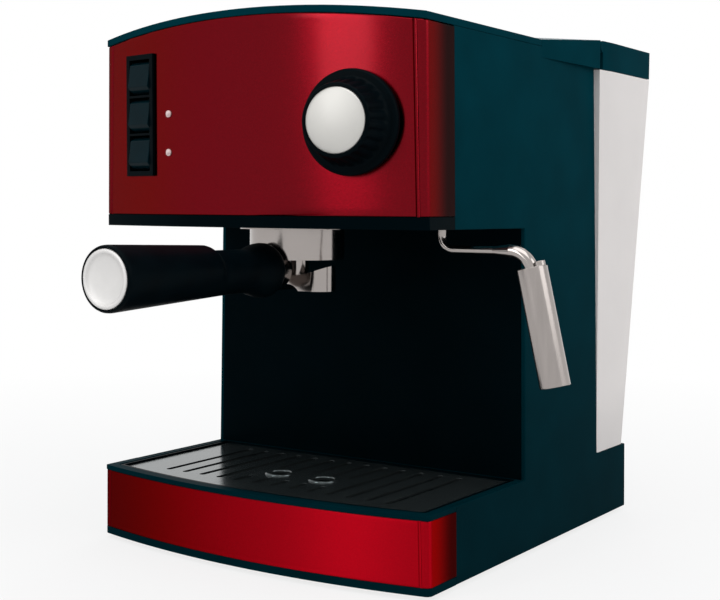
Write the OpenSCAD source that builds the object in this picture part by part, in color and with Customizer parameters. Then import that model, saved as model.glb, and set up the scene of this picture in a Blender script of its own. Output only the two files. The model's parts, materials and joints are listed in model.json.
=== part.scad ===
// Pump espresso machine with a two-cup filter holder, a steam wand and a rear water tank.
// The origin is the middle of the plane that the feet stand on. +X is the right side seen
// from the front, +Y points to the back and +Z points up.

/* [Body] */
// Width of the body at its bottom edge
body_w = 211.6; // [160:0.1:260]
// Depth from the front corners to the back of the base
body_d = 232.8; // [200:0.1:300]
// Height of the side walls above the bottom edge
side_h = 271.8; // [225:0.1:340]
// Inward lean of each side wall in degrees
side_draft = 1; // [0:0.01:1.6]
// How far the front bulges ahead of its corners
front_bulge = 12; // [6:0.5:16]
// Radius of the upright front corners
corner_r = 3.5; // [2.5:0.5:8]
// Rise of the crowned top above the side walls
crown = 7.5; // [5:0.5:10]
// Thickness of the outer covers
wall = 2.5; // [1.6:0.1:3]
// Thickness of the top cover
cover_t = 3.5; // [2.5:0.1:4.5]
// How far the painted front wraps back along each side
wrap_d = 25; // [20:0.5:32]
// Height of the feet
foot_h = 2.5; // [1.5:0.5:8]

/* [Base] */
// Height of the base with its drip tray
base_h = 38.6; // [32:0.1:48]
// Height of the black strip under the painted base panel
strip_h = 4; // [2:0.5:5]
// Thickness of the black rim above the painted base panel
rim_t = 2.6; // [2:0.1:4]
// Width of the rim round the drip tray
rim_w = 6; // [5:0.5:8]
// Wall thickness of the drip tray
tray_t = 1.8; // [1.2:0.1:2.4]
// Thickness of the drip grid
grid_t = 1.2; // [0.8:0.1:2]
// Number of drain slots in the drip grid
slot_count = 13; // [9:2:15]
// Width of one drain slot
slot_w = 3.6; // [2:0.1:4]
// Distance from slot to slot
slot_pitch = 12; // [9:0.5:12]
// Radius of the two finger holes in the grid
finger_r = 6; // [5:0.5:7]

/* [Head and column] */
// Height of the head above the cup space
head_h = 100; // [84:0.5:120]
// Height of the black band under the painted head panel
band_h = 6; // [3:0.5:7]
// Depth of the cup space behind the front corners
cup_d = 98; // [92:0.5:118]
// Depth behind the front corners where the top starts to flare
deck_d = 118; // [110:0.5:150]
// Depth of the column's back at its foot
column_foot_d = 191; // [189:0.5:200]
// Depth of the column's back at its top
column_top_d = 185; // [180:0.5:189]

/* [Group and filter holder] */
// Depth of the group's axis behind the front corners
group_d = 37; // [34:0.5:44]
// Outer radius of the bowl's collar
collar_r = 30; // [28:0.5:32]
// Outer radius of the bowl
bowl_r = 25; // [24:0.5:27]
// Drop of the bowl below the head
bowl_drop = 16.8; // [14:0.1:20]
// Outer radius of the filter basket
basket_r = 22.3; // [19:0.1:22.5]
// Depth of the filter basket
basket_h = 22; // [18:0.5:23]
// Drop of the handle's axis below the head
handle_drop = 21.8; // [20:0.1:26]
// Distance from the group's axis to the end of the handle
handle_reach = 141; // [118:0.5:170]
// Radius of the handle at its end
handle_r = 15.2; // [13:0.1:18]
// Distance between the two spout outlets
spout_gap = 29; // [24:0.5:34]
// Radius of one spout outlet
spout_r = 8.5; // [7:0.1:10]
// Drop of the spout's lower edge below the head
spout_drop = 33.3; // [32:0.1:38]

/* [Steam] */
// Sideways place of the steam wand's pivot
wand_x = 88.5; // [72:0.5:90]
// Radius of the steam tube
tube_r = 2; // [1.8:0.1:3]
// Length of the wand's level arm
wand_reach = 37.8; // [30:0.1:50]
// Outward lean of the frothing sleeve in degrees
sleeve_lean = 13.3; // [0:0.1:20]
// Radius of the frothing sleeve
sleeve_r = 7.3; // [6:0.1:9]
// Length of the frothing sleeve
sleeve_len = 56.8; // [46:0.1:68]
// Sideways place of the knob
knob_x = 65.5; // [55:0.5:66]
// Radius of the knob's skirt
knob_r = 25; // [20:0.5:27]
// Height of the knob off the panel
knob_h = 21; // [17:0.5:25]
// Radius of the knob's domed cap
cap_r = 15.4; // [12:0.1:16]

/* [Switches] */
// Sideways place of the switches
switch_x = -70.3; // [-74:0.1:-60]
// Width of one rocker
rocker_w = 16.4; // [13:0.1:17]
// Height of one rocker
rocker_h = 18; // [15:0.5:21]
// Travel of a rocker in degrees
rocker_turn = 14; // [8:1:16]

/* [Water] */
// Half width of the tank's flared top
tank_half_w = 106; // [102:0.5:112]
// Depth of the tank's back at its top
tank_top_d = 257.5; // [240:0.5:300]
// Depth of the tank's back at its foot
tank_foot_d = 227.5; // [215:0.5:228]
// Wall thickness of the tank
tank_t = 2; // [1.5:0.1:3]
// Height of the tank's lid
lid_h = 16.1; // [14:0.1:20]
// Sideways place of the pump and the tank outlet
pump_x = -20; // [-30:0.5:-14]

/* [Hidden] */

$fn = 96;
fine = 360;       // facets asked of the large arcs
seat = 0.3;       // gap between pieces of different bodies at rest
run = 0.05;       // radial clearance of a running fit
cut = 1;          // overshoot of a cutting shape

black = [0.05, 0.06, 0.07];
red = [0.55, 0.03, 0.06];
steel = [0.75, 0.75, 0.77];

// ---- shared sizes ---------------------------------------------------------------------

head_z = side_h - head_h;
trim = 0.1;           // the leaning sides trim this much off the outlines of base and head
base_w = body_w + trim;
head_w = 2 * half_w(head_z) + trim;
knob_z = head_z + head_h / 2;
lid_gap = 0.7;        // gap between the deck and the lid
lid_sink = 9.4;       // how far the lid's edge lies under the top of the sides
lid_d = column_top_d + lid_gap;
lid_z = side_h - lid_sink;
lid_top = lid_z + lid_h;
tank_z = base_h + seat;
back = max(tank_top_d, body_d) + cut;

// Half width of the body at height z
function half_w(z) = body_w / 2 - z * tan(side_draft);
// Radius of the front arc of an outline of width w
function front_r(w) = (w * w / 4 + front_bulge * front_bulge) / (2 * front_bulge);
// Depth of the front arc's centre
function front_c(w) = front_r(w) - front_bulge;
// Radius and centre of the corner's fillet, of an outline moved in by inset
inner_r = 2;          // an inner corner's fillet is at least this large
proud = 0.01;         // the fillet stands this much proud, so that it crosses its neighbours
function fillet_r(inset) = max(corner_r - inset, inner_r);
function fillet_x(w, inset) = w / 2 - inset - fillet_r(inset);
function fillet_y(w, inset) = front_c(w)
    - sqrt(pow(front_r(w) - inset - fillet_r(inset), 2) - pow(fillet_x(w, inset), 2));
// Place of the shadow groove beside the corner, and how far it leans inwards going up
crease_in = 1.1;
crease_lean = 1.6;
function crease_x(w) = w / 2 - corner_r - crease_in;
function crease_y(w) = front_c(w) - sqrt(pow(front_r(w), 2) - pow(crease_x(w), 2));
// Depth and turn of the head's front panel at x
function panel_y(x) = front_c(head_w) - sqrt(pow(front_r(head_w), 2) - x * x);
function panel_turn(x) = asin(x / front_r(head_w));
// Half width of the flared deck and lid at depth d
function flare_w(d) = half_w(side_h) + (tank_half_w - half_w(side_h))
    * min(1, (d - deck_d) / (lid_d + chamfer_d - deck_d));
chamfer_d = 15.3;

// ---- helpers --------------------------------------------------------------------------

// Moves a piece from the body's own frame (front corners, bottom edge) to the origin
module in_place() { translate([0, -body_d / 2, foot_h]) children(); }
// Extrudes an X-Z outline along Y
module along_y(y0, y1) { translate([0, y1, 0]) rotate([90, 0, 0]) linear_extrude(y1 - y0) children(); }
// Extrudes a Y-Z outline along X
module along_x(x0, x1) { translate([x0, 0, 0]) rotate([90, 0, 90]) linear_extrude(x1 - x0) children(); }
// Extrudes an X-Y outline between two heights
module layer(z0, z1) { translate([0, 0, z0]) linear_extrude(z1 - z0) children(); }
module span(x0, y0, x1, y1) { translate([x0, y0]) square([x1 - x0, y1 - y0]); }
module ring(r_out, r_in, h) {
    difference() {
        cylinder(r = r_out, h = h);
        translate([0, 0, -cut]) cylinder(r = r_in, h = h + 2 * cut);
    }
}

// Outline of the body seen from above, w wide, moved in by inset and ending at depth d
module plan(w, inset, d) {
    fx = fillet_x(w, inset);
    fy = fillet_y(w, inset);
    reach = 1.1 * front_r(w) / (front_c(w) - fy);
    intersection() {
        translate([0, front_c(w)]) circle(front_r(w) - inset, $fn = fine);
        polygon([[0, front_c(w)],
            [-reach * fx, front_c(w) - reach * (front_c(w) - fy)],
            [reach * fx, front_c(w) - reach * (front_c(w) - fy)]]);
        span(-w, -2 * front_bulge, w, fy + cut);
    }
    for (s = [-1, 1]) translate([s * fx, fy]) circle(fillet_r(inset) + proud);
    span(-w / 2 + inset, fy, w / 2 - inset, d);
}

// Outline of the body seen from the front: leaning sides, moved in by inset
module leaning_sides(inset) {
    top = side_h + 2 * crown;
    polygon([[-half_w(0) + inset, 0], [half_w(0) - inset, 0],
        [half_w(top) - inset, top], [-half_w(top) + inset, top]]);
}
// The crown's arc, moved down by drop
module crown_disc(drop) {
    w = half_w(side_h);
    r = (w * w + crown * crown) / (2 * crown);
    translate([0, side_h + crown - r]) circle(r - drop, $fn = fine);
}
// The same crown in short straight steps, down to the bottom edge
module crown_steps(drop) {
    w = half_w(side_h);
    r = (w * w + crown * crown) / (2 * crown);
    steps = 40;
    polygon(concat([[-body_w, 0]],
        [for (i = [-steps / 2:steps / 2]) let (x = i * body_w / steps)
            [x, side_h + crown - r + sqrt(pow(r - drop, 2) - x * x)]],
        [[body_w, 0]]));
}
module front_outline(inset, drop) {
    intersection() {
        leaning_sides(inset);
        crown_disc(drop);
    }
}
// Space for pieces that show at the front and sit inside the side panels behind it
module cover_space(drop) {
    along_y(-2 * front_bulge, wrap_d) front_outline(0, drop);
    along_y(wrap_d, back) front_outline(wall, drop);
}
// Two shadow grooves, one beside each front corner, at their place at height z
module grooves(w, z) {
    groove_r = 0.7;
    slope = crease_x(w) / (front_c(w) - crease_y(w));
    for (s = [-1, 1]) translate([s * crease_x(w), crease_y(w), z])
        rotate([crease_lean * slope, -s * crease_lean, 0])
        translate([0, 0, -side_h]) cylinder(r = groove_r, h = 2 * side_h, $fn = 24);
}
// Frame on the head's front panel at (x, z): local -Y points out of the panel
module on_panel(x, z) { translate([x, panel_y(x), z]) rotate([0, 0, panel_turn(x)]) children(); }
// Quarter bend of a round tube in the Y-Z plane, from +Y round to +Z
module bend(bend_r, r_out, r_in) {
    rotate([90, 0, 90]) rotate_extrude(angle = 90) translate([bend_r, 0]) difference() {
        circle(r_out, $fn = 32);
        if (r_in > 0) circle(r_in, $fn = 32);
    }
}

// ---- base -----------------------------------------------------------------------------

screw_x = body_w / 2 - 26;
screw_y = [30, 118, body_d - 14];
boss_r = 4.5;
screw_r = 1.5;
tray_inset = rim_w + 0.4;
tray_back = cup_d - 0.6;
plate_t = 2;
socket_d = column_foot_d + 18;
hose_r = 4;
gland_x = 70;
gland_z = 18;
gland_r = 6;

module tray_surround() color(black) in_place() intersection() {
    cover_space(0);
    union() {
        layer(0, strip_h) frame_ring(0);
        layer(strip_h, base_h - rim_t) frame_ring(wall);
        layer(base_h - rim_t, base_h) difference() {
            plan(base_w, 0, cup_d);
            plan(base_w, rim_w, cup_d + cut);
        }
    }
}
// Four bosses that hang from the deck and take the bottom screws
module screw_bosses() color(black) in_place() difference() {
    for (s = [-1, 1], y = [screw_y[1], screw_y[2]])
        translate([s * screw_x, y, plate_t]) cylinder(r = boss_r, h = base_h - wall - plate_t);
    for (s = [-1, 1], y = [screw_y[1], screw_y[2]])
        translate([s * screw_x, y, 0]) cylinder(r = screw_r, h = 14, $fn = 24);
}
module base_frame() color(black) in_place() difference() {
    intersection() {
        cover_space(0);
        translate([0, cup_d, plate_t]) frame_box();
    }
    translate([pump_x, socket_d, base_h - 2 * wall]) cylinder(r = 9, h = 3 * wall);
    translate([pump_x, pump_d, base_h - 2 * wall]) cylinder(r = hose_r + 1, h = 3 * wall);
    translate([gland_x, body_d - 2 * wall, gland_z]) rotate([-90, 0, 0])
        cylinder(r = gland_r, h = 3 * wall);
}
module frame_ring(inset) {
    difference() {
        plan(base_w, inset, cup_d);
        plan(base_w, wall + 2, cup_d + cut);
    }
}
// Box behind the tray: cross wall, deck with the tank ledge and back wall
module frame_box() {
    d = body_d - cup_d;
    h = base_h - plate_t;
    difference() {
        translate([-body_w / 2, 0, 0]) cube([body_w, d, h]);
        translate([-body_w, wall, -cut]) cube([2 * body_w, d - 2 * wall, h - wall + cut]);
    }
}

module base_front_panel() color(red) in_place() difference() {
    intersection() {
        along_y(-2 * front_bulge, wrap_d + cut) leaning_sides(0);
        layer(strip_h, base_h - rim_t) difference() {
            plan(base_w, 0, wrap_d);
            plan(base_w, wall, wrap_d + cut);
        }
    }
    grooves(base_w, 0);
}

module bottom_plate() color(black) in_place() difference() {
    intersection() {
        cover_space(0);
        layer(0, plate_t) plan(base_w, wall + 2, body_d - wall);
    }
    for (s = [-1, 1], y = screw_y) translate([s * screw_x, y, -cut])
        cylinder(r = foot_pin_r, h = 2 * wall, $fn = 24);
}

foot_pin_r = 2;
foot_r = 8;

module rubber_feet() color(black) in_place() {
    for (s = [-1, 1], y = [screw_y[0], screw_y[2]]) translate([s * screw_x, y, -foot_h]) difference() {
        union() {
            cylinder(r = foot_r, h = foot_h);
            if (y == screw_y[0]) cylinder(r = foot_pin_r, h = foot_h + plate_t, $fn = 24);
        }
        if (y != screw_y[0]) translate([0, 0, -cut])
            cylinder(r = foot_pin_r, h = foot_h + 2 * cut, $fn = 24);
    }
}

module bottom_screws() color(steel) in_place() {
    cap_h = 1.2;
    for (s = [-1, 1]) {
        translate([s * screw_x, screw_y[1], -cap_h]) cylinder(r = 3.2, h = cap_h);
        translate([s * screw_x, screw_y[1], 0]) cylinder(r = screw_r, h = 13, $fn = 24);
        translate([s * screw_x, screw_y[2], -1]) cylinder(r = screw_r, h = 14, $fn = 24);
    }
}

module cord_gland() color(black) in_place() translate([gland_x, body_d, gland_z]) rotate([90, 0, 0]) {
    difference() {
        union() {
            translate([0, 0, -3]) cylinder(r = gland_r + 2, h = 3);
            translate([0, 0, 0]) cylinder(r = gland_r, h = 3 * wall);
        }
        translate([0, 0, -3 - cut]) cylinder(r = 3.4, h = 3 * wall + 6);
    }
}

// ---- side panels, column ----------------------------------------------------------------

module left_side_panel() color(black) in_place() side_panel(-1);
module right_side_panel() color(black) in_place() side_panel(1);
module side_panel(side) {
    intersection() {
        along_x(side > 0 ? 0 : -body_w, side > 0 ? body_w : 0) side_outline();
        difference() {
            along_y(0, back) front_outline(0, cover_t);
            along_y(-cut, back + cut) leaning_sides(wall);
        }
    }
}
// C-shaped outline in Y-Z: base, column and head
module side_outline() {
    top = side_h + crown;
    lean = (column_foot_d - column_top_d) / (side_h - base_h);
    polygon([[wrap_d, 0], [body_d, 0], [body_d, base_h], [column_foot_d, base_h],
        [column_foot_d - lean * (top - base_h), top], [wrap_d, top], [wrap_d, head_z],
        [cup_d, head_z], [cup_d, base_h], [wrap_d, base_h]]);
}

module column_front_panel() color(black) in_place() intersection() {
    along_y(cup_d, cup_d + wall) front_outline(wall, 0);
    layer(base_h, head_z) span(-body_w, 0, body_w, body_d);
}

module rear_wall() color(black) in_place() intersection() {
    lean = (column_foot_d - column_top_d) / (side_h - base_h);
    top = lid_z;
    along_x(-body_w, body_w) polygon([[column_foot_d, base_h], [column_foot_d - lean * (top - base_h), top],
        [column_foot_d - lean * (top - base_h) - wall, top], [column_foot_d - wall, base_h]]);
    along_y(0, back) front_outline(wall, 0);
}

// ---- head -----------------------------------------------------------------------------

module head_underside() color(black) in_place() difference() {
    intersection() {
        cover_space(0);
        union() {
            layer(head_z, head_z + wall) plan(head_w, 0, cup_d + wall);
            layer(head_z, head_z + band_h) difference() {
                plan(head_w, 0, wrap_d + wall);
                plan(head_w, wall, wrap_d + 2 * wall);
            }
        }
    }
    translate([0, group_d, head_z - cut]) cylinder(r = group_hole_r, h = wall + 2 * cut);
    translate([wand_x, group_d, head_z - cut]) cylinder(r = tube_r + 1, h = wall + 2 * cut);
}

module head_front_panel() color(red) in_place() difference() {
    intersection() {
        along_y(-2 * front_bulge, wrap_d + cut) leaning_sides(0);
        along_y(-2 * front_bulge, wrap_d + cut) crown_steps(cover_t);
        layer(head_z + band_h, side_h + crown) difference() {
            plan(head_w, 0, wrap_d);
            plan(head_w, wall, wrap_d + cut);
        }
    }
    grooves(head_w, head_z);
    on_panel(knob_x, knob_z) rotate([90, 0, 0]) cylinder(r = 5, h = 6 * wall, center = true);
    on_panel(switch_x, switch_z) cube([bezel_in_w, 6 * wall, bezel_in_h], center = true);
    for (z = lamp_z) on_panel(lamp_x, z) rotate([90, 0, 0])
        cylinder(r = lamp_r, h = 6 * wall, center = true, $fn = 32);
}

module top_cover() color(black) in_place() intersection() {
    layer(head_z, side_h + 2 * crown) plan(head_w, 0, deck_d);
    along_y(-2 * front_bulge, deck_d) difference() {
        front_outline(0, 0);
        crown_disc(cover_t);
    }
}

// Deck between the crowned top and the lid: its sides flare out and rise to the flat lid
module rear_deck() color(black) in_place() difference() {
    hull() {
        along_y(deck_d, deck_d + 0.01) intersection() {
            front_outline(0, 0);
            span(-body_w, lid_z, body_w, 2 * side_h);
        }
        along_y(column_top_d - 0.01, column_top_d)
            span(-flare_w(column_top_d), lid_z, flare_w(column_top_d), lid_top);
    }
    along_y(0, back) front_outline(0, cover_t);
    hull() {
        along_y(deck_d - cut, deck_d) front_outline(wall, cover_t);
        along_y(column_top_d - wall - 0.01, column_top_d - wall)
            span(-flare_w(column_top_d) + wall, lid_z - cut, flare_w(column_top_d) - wall, lid_top - cover_t);
    }
}

// ---- switches ---------------------------------------------------------------------------

cell_gap = 0.3;
bezel_bar = 1.2;
switch_z = knob_z + 8;
cell_w = rocker_w + 2 * cell_gap;
cell_h = rocker_h + 2 * cell_gap;
bezel_in_w = cell_w + 2 * bezel_bar;
bezel_in_h = 3 * cell_h + 4 * bezel_bar;
bezel_lip = 1.4;
bezel_depth = 12;
rocker_step = cell_h + bezel_bar;
pivot_y = 5;
pivot_r = 1.2;
lamp_x = switch_x + 22;
lamp_z = [switch_z, switch_z - rocker_step];
lamp_r = 1.8;

module cells(y0, y1) {
    for (i = [-1, 0, 1]) translate([-cell_w / 2, y0, i * rocker_step - cell_h / 2])
        cube([cell_w, y1 - y0, cell_h]);
}
module switch_bezel() color(black) in_place() on_panel(switch_x, switch_z) difference() {
    union() {
        translate([-bezel_in_w / 2 - bezel_lip, -bezel_lip, -bezel_in_h / 2 - bezel_lip])
            cube([bezel_in_w + 2 * bezel_lip, bezel_lip, bezel_in_h + 2 * bezel_lip]);
        translate([-bezel_in_w / 2, 0, -bezel_in_h / 2]) cube([bezel_in_w, bezel_depth, bezel_in_h]);
    }
    cells(-2 * bezel_lip, bezel_depth + cut);
    for (i = [-1, 0, 1]) translate([0, pivot_y, i * rocker_step]) rotate([0, 90, 0])
        cylinder(r = pivot_r + run, h = 2 * cell_w, center = true, $fn = 32);
}
module switch_bodies() color(black) in_place() on_panel(switch_x, switch_z) {
    body_t = 12;
    blade_t = 0.8;
    for (i = [-1, 0, 1]) translate([0, bezel_depth, i * rocker_step]) {
        translate([-cell_w / 2, 0, -cell_h / 2]) cube([cell_w, body_t, cell_h]);
        for (z = [-4, 4]) translate([-2.4, body_t - 0.01, z]) cube([4.8, 8, blade_t]);
    }
}
module indicator_lamps() color("white") in_place() for (z = lamp_z) on_panel(lamp_x, z)
    translate([0, 9, 0]) rotate([90, 0, 0]) {
        cylinder(r = lamp_r, h = 9.6, $fn = 32);
        translate([0, 0, 9.6 - 0.6]) sphere(r = lamp_r - 0.2, $fn = 32);
    }
// A rocker turns on its own pin; its ends are arcs round the pin
module rocker() {
    face_y = -2.6;
    dip = 0.8;
    rotate([-rocker_turn / 2, 0, 0]) {
        along_x(-rocker_w / 2, rocker_w / 2) intersection() {
            circle(rocker_h / 2);
            polygon([[face_y - pivot_y, rocker_h], [face_y - pivot_y + dip, 0], [face_y - pivot_y, -rocker_h],
                [4, -rocker_h], [4, rocker_h]]);
        }
        rotate([0, 90, 0]) cylinder(r = pivot_r, h = rocker_w + 2 * bezel_bar, center = true, $fn = 32);
    }
}
module place_rocker(i) {
    on_panel(switch_x, switch_z) translate([0, pivot_y, i * rocker_step]) rocker();
}
module upper_rocker() color(black) in_place() place_rocker(1);
module middle_rocker() color(black) in_place() place_rocker(0);
module lower_rocker() color(black) in_place() place_rocker(-1);

// ---- knob, valve, pipes, wand -------------------------------------------------------------

spindle_r = 3;
valve_r = 9;
valve_y0 = 20;
valve_y1 = 44;
barrel_r = cap_r + 1.4;
skirt_t = 5;
flutes = 24;
flute_r = 1.3;

// On the knob's axis; +Z of the child points out of the panel
module on_knob() { on_panel(knob_x, knob_z) rotate([90, 0, 0]) children(); }

module steam_knob() color(black) in_place() on_knob() difference() {
    union() {
        translate([0, 0, 1]) cylinder(r = knob_r, h = skirt_t - 1);
        translate([0, 0, seat]) cylinder(r1 = barrel_r + 4, r2 = barrel_r, h = knob_h - 2 - seat);
    }
    for (n = [0:flutes - 1]) rotate([0, 0, n * 360 / flutes]) translate([barrel_r + 3, 0, skirt_t])
        rotate([0, -7, 0]) cylinder(r = flute_r, h = knob_h, $fn = 16);
    translate([0, 0, -cut]) cylinder(r = spindle_r, h = knob_h - 4 + cut, $fn = 48);
    difference() {
        translate([0, 0, -cut]) cylinder(r = barrel_r, h = knob_h / 2);
        cylinder(r = spindle_r + 3, h = knob_h);
    }
    translate([0, 0, knob_h - 3]) cylinder(r = cap_r, h = knob_h);
}
module knob_cap() color(steel) in_place() on_knob() {
    dome_r = 60;
    intersection() {
        translate([0, 0, knob_h - 3]) cylinder(r = cap_r, h = 3);
        translate([0, 0, knob_h - dome_r]) sphere(r = dome_r, $fn = 200);
    }
}
module valve_spindle() color(steel) in_place() on_knob()
    translate([0, 0, -valve_y0 - 10]) cylinder(r = spindle_r, h = knob_h - 4 + valve_y0 + 10, $fn = 48);
module valve_solid() {
    translate([0, 0, -valve_y1]) cylinder(r = valve_r, h = valve_y1 - valve_y0);
}
module steam_valve() color(steel) in_place() on_knob() difference() {
    union() {
        valve_solid();
        translate([0, 0, -valve_y0 - 0.01]) cylinder(r = 6, h = 8, $fn = 6);
    }
    translate([0, 0, -valve_y0 - 10 - seat]) cylinder(r = spindle_r + run, h = 40, $fn = 48);
}
pipe_r = 2.5;
feed_y = group_d - 4;
module steam_feed_pipe() color(steel) in_place() difference() {
    translate([0, feed_y, knob_z]) rotate([0, 90, 0]) cylinder(r = pipe_r, h = knob_x, $fn = 32);
    boiler_solid();
    on_knob() valve_solid();
}
module steam_outlet_pipe() color(steel) in_place() difference() {
    bend_r = 8;
    drop = knob_z - bend_r - pipe_foot_z;
    union() {
        translate([knob_x - 6, group_d, knob_z]) rotate([0, 90, 0])
            cylinder(r = pipe_r, h = wand_x - bend_r - knob_x + 6, $fn = 32);
        translate([wand_x - bend_r, group_d, knob_z - bend_r]) rotate([90, 0, 0])
            rotate_extrude(angle = 90) translate([bend_r, 0]) circle(pipe_r, $fn = 32);
        translate([wand_x, group_d, pipe_foot_z]) cylinder(r = pipe_r, h = drop, $fn = 32);
    }
    on_knob() valve_solid();
}

nut_h = 10;
flange_h = 1.5;
pipe_foot_z = head_z + wall + nut_h + 2 * seat + flange_h;
module wand_nut() color(steel) in_place() translate([wand_x, group_d, head_z + wall]) difference() {
    cylinder(r = 8, h = nut_h, $fn = 6);
    translate([0, 0, -cut]) cylinder(r = tube_r + run, h = nut_h + 2 * cut, $fn = 48);
}
arm_drop = 9.8;
inner_bend = 7;
outer_bend = 12;
arm_z = head_z - arm_drop;
turn = 90 - sleeve_lean;
tip_x = wand_x + wand_reach + outer_bend * sin(turn);
tip_z = arm_z - outer_bend * (1 - cos(turn));
tube_tail = sleeve_len - 4.8;
elbow_r = tube_r + 1.1; // the tube swells to this radius round the outer bend
swell_len = 9;
bend_thinning = 0.02;   // the drawn tube is a little thinner in its bends
sleeve_skip = 1.6;      // length of sleeve that reaches back round the bend
sleeve_web = 24;        // depth of the narrow bore that holds the sleeve on its tube
sleeve_t = 1.6;
mouth_depth = 1;        // the wide mouth reaches this far past the end of the bend
bump_r = 2.8;           // the small vent on top of the sleeve
bump_h = 2.4;

// Frame at the end of the outer bend: +Z of the child points down the sleeve
module on_tip() { translate([tip_x, group_d, tip_z]) rotate([0, 180 - sleeve_lean, 0]) children(); }

module steam_wand() color(steel) in_place() {
    shank_z = arm_z + inner_bend;
    translate([wand_x, group_d, shank_z])
        cylinder(r = tube_r, h = head_z + wall + nut_h + seat - shank_z + 0.01, $fn = 32);
    translate([wand_x, group_d, head_z + wall + nut_h + seat])
        cylinder(r = tube_r + 2, h = flange_h, $fn = 48);
    translate([wand_x + inner_bend, group_d, shank_z]) rotate([90, 0, 0]) rotate([0, 0, 180])
        rotate_extrude(angle = 90) translate([inner_bend, 0]) circle(tube_r - bend_thinning, $fn = 32);
    translate([wand_x + inner_bend, group_d, arm_z]) rotate([0, 90, 0])
        cylinder(r = tube_r, h = wand_reach - inner_bend - swell_len, $fn = 32);
    translate([wand_x + wand_reach - swell_len, group_d, arm_z]) rotate([0, 90, 0])
        cylinder(r1 = tube_r, r2 = elbow_r, h = swell_len, $fn = 32);
    translate([wand_x + wand_reach, group_d, arm_z - outer_bend]) rotate([90, 0, 0])
        rotate([0, 0, 90 - turn]) {
        rotate_extrude(angle = turn) translate([outer_bend, 0]) circle(elbow_r - bend_thinning, $fn = 32);
        translate([outer_bend, 0, 0]) rotate([90, 0, 0]) cylinder(r = tube_r, h = tube_tail, $fn = 32);
    }
}
module frothing_sleeve() color(steel) in_place() on_tip() difference() {
    union() {
        translate([0, 0, -sleeve_skip]) cylinder(r = sleeve_r, h = sleeve_len);
        translate([-sleeve_r + bump_r + 0.3, 0, -sleeve_skip - bump_h])
            cylinder(r = bump_r, h = bump_h + 0.6);
    }
    translate([0, 0, -sleeve_skip - 4]) cylinder(r = tube_r + run, h = sleeve_len, $fn = 48);
    translate([0, 0, -sleeve_skip - 4]) cylinder(r = elbow_r + 2 * seat, h = sleeve_skip + 4 + mouth_depth, $fn = 48);
    translate([0, 0, sleeve_web]) cylinder(r = sleeve_r - sleeve_t, h = sleeve_len);
}

// ---- group, boiler ----------------------------------------------------------------------

lip_t = 3;
ear_t = 3;
ear_reach = 4;
unlock_turn = 50;     // turn of the filter holder from locked to free
group_r = 38;
group_h = 17.7;
flange_r = 46;
flange_t = 4;
boiler_r = 37;
boiler_h = 42;
gasket_in_r = 23;
gasket_t = 5.6;
collar_top = wall + lip_t + seat + ear_t + 0.7;
basket_rim_t = 0.8;
cavity_r = collar_r + ear_reach + 0.6;
group_hole_r = collar_r + ear_reach + 0.5;
cavity_top = collar_top + basket_rim_t + 0.5;
bolt_ring = 42;
bolt_r = 2;
seal_z = collar_top + basket_rim_t + seat;
boiler_z = head_z + wall + group_h;

module on_group() { translate([0, group_d, head_z]) children(); }
module ears(grow, z0, z1) {
    intersection() {
        translate([0, 0, z0]) cylinder(r = collar_r + ear_reach + grow, h = z1 - z0);
        translate([-collar_r - 2 * ear_reach, -9 - grow, z0])
            cube([2 * collar_r + 4 * ear_reach, 18 + 2 * grow, z1 - z0]);
    }
}
module group_head() color(steel) in_place() on_group() difference() {
    union() {
        translate([0, 0, wall]) cylinder(r = group_r, h = group_h);
        translate([0, 0, wall + group_h - flange_t]) cylinder(r = flange_r, h = flange_t);
    }
    translate([0, 0, -cut]) cylinder(r = collar_r + 0.6, h = cavity_top + cut);
    translate([0, 0, wall + lip_t]) cylinder(r = cavity_r, h = cavity_top - wall - lip_t);
    rotate([0, 0, -unlock_turn]) ears(0.4, 0, wall + lip_t + cut);
    translate([0, 0, cavity_top - 0.01]) ring(collar_r, gasket_in_r, gasket_t + seal_z - cavity_top + 0.01);
    translate([0, 0, -cut]) cylinder(r = bolt_r, h = group_h + wall + 2 * cut, $fn = 24);
    for (a = [45:90:315]) rotate([0, 0, a]) translate([bolt_ring, 0, wall + group_h - flange_t - cut])
        cylinder(r = bolt_r, h = 2 * flange_t, $fn = 24);
}
module group_gasket() color("dimgray") in_place() on_group()
    translate([0, 0, seal_z]) ring(collar_r, gasket_in_r, gasket_t);
screen_t = 1;
screen_r = basket_r - 2.2;
module shower_screen() color(steel) in_place() on_group() difference() {
    translate([0, 0, cavity_top - screen_t]) cylinder(r = screen_r, h = screen_t);
    translate([0, 0, cavity_top - screen_t - cut]) cylinder(r = bolt_r, h = screen_t + 2 * cut, $fn = 24);
    for (n = [0:17], d = [8, 13, 17]) rotate([0, 0, n * 20]) translate([d, 0, cavity_top - screen_t - cut])
        cylinder(r = 0.6, h = screen_t + 2 * cut, $fn = 16);
}
module shower_screw() color(steel) in_place() on_group() {
    translate([0, 0, cavity_top - screen_t - 1.4]) cylinder(r = 4, h = 1.4);
    translate([0, 0, cavity_top - screen_t]) cylinder(r = bolt_r, h = 7, $fn = 24);
}
module boiler_solid() {
    translate([0, group_d, boiler_z]) {
        cylinder(r = boiler_r, h = boiler_h);
        cylinder(r = flange_r, h = flange_t);
    }
}
module boiler() color("lightgray") in_place() difference() {
    boiler_solid();
    translate([0, group_d, boiler_z + 3]) cylinder(r = boiler_r - 3, h = boiler_h - 6);
    translate([0, group_d, boiler_z - cut]) {
        cylinder(r = bolt_r, h = 6);
        for (a = [45:90:315]) rotate([0, 0, a]) translate([bolt_ring, 0, 0])
            cylinder(r = bolt_r, h = 2 * flange_t, $fn = 24);
        for (s = [-1, 1]) translate([s * coil_r, 0, 0])
            cylinder(r = coil_t, h = boiler_h + 3 * cut, $fn = 32);
    }
}
coil_r = 24;
coil_t = 3;
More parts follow.
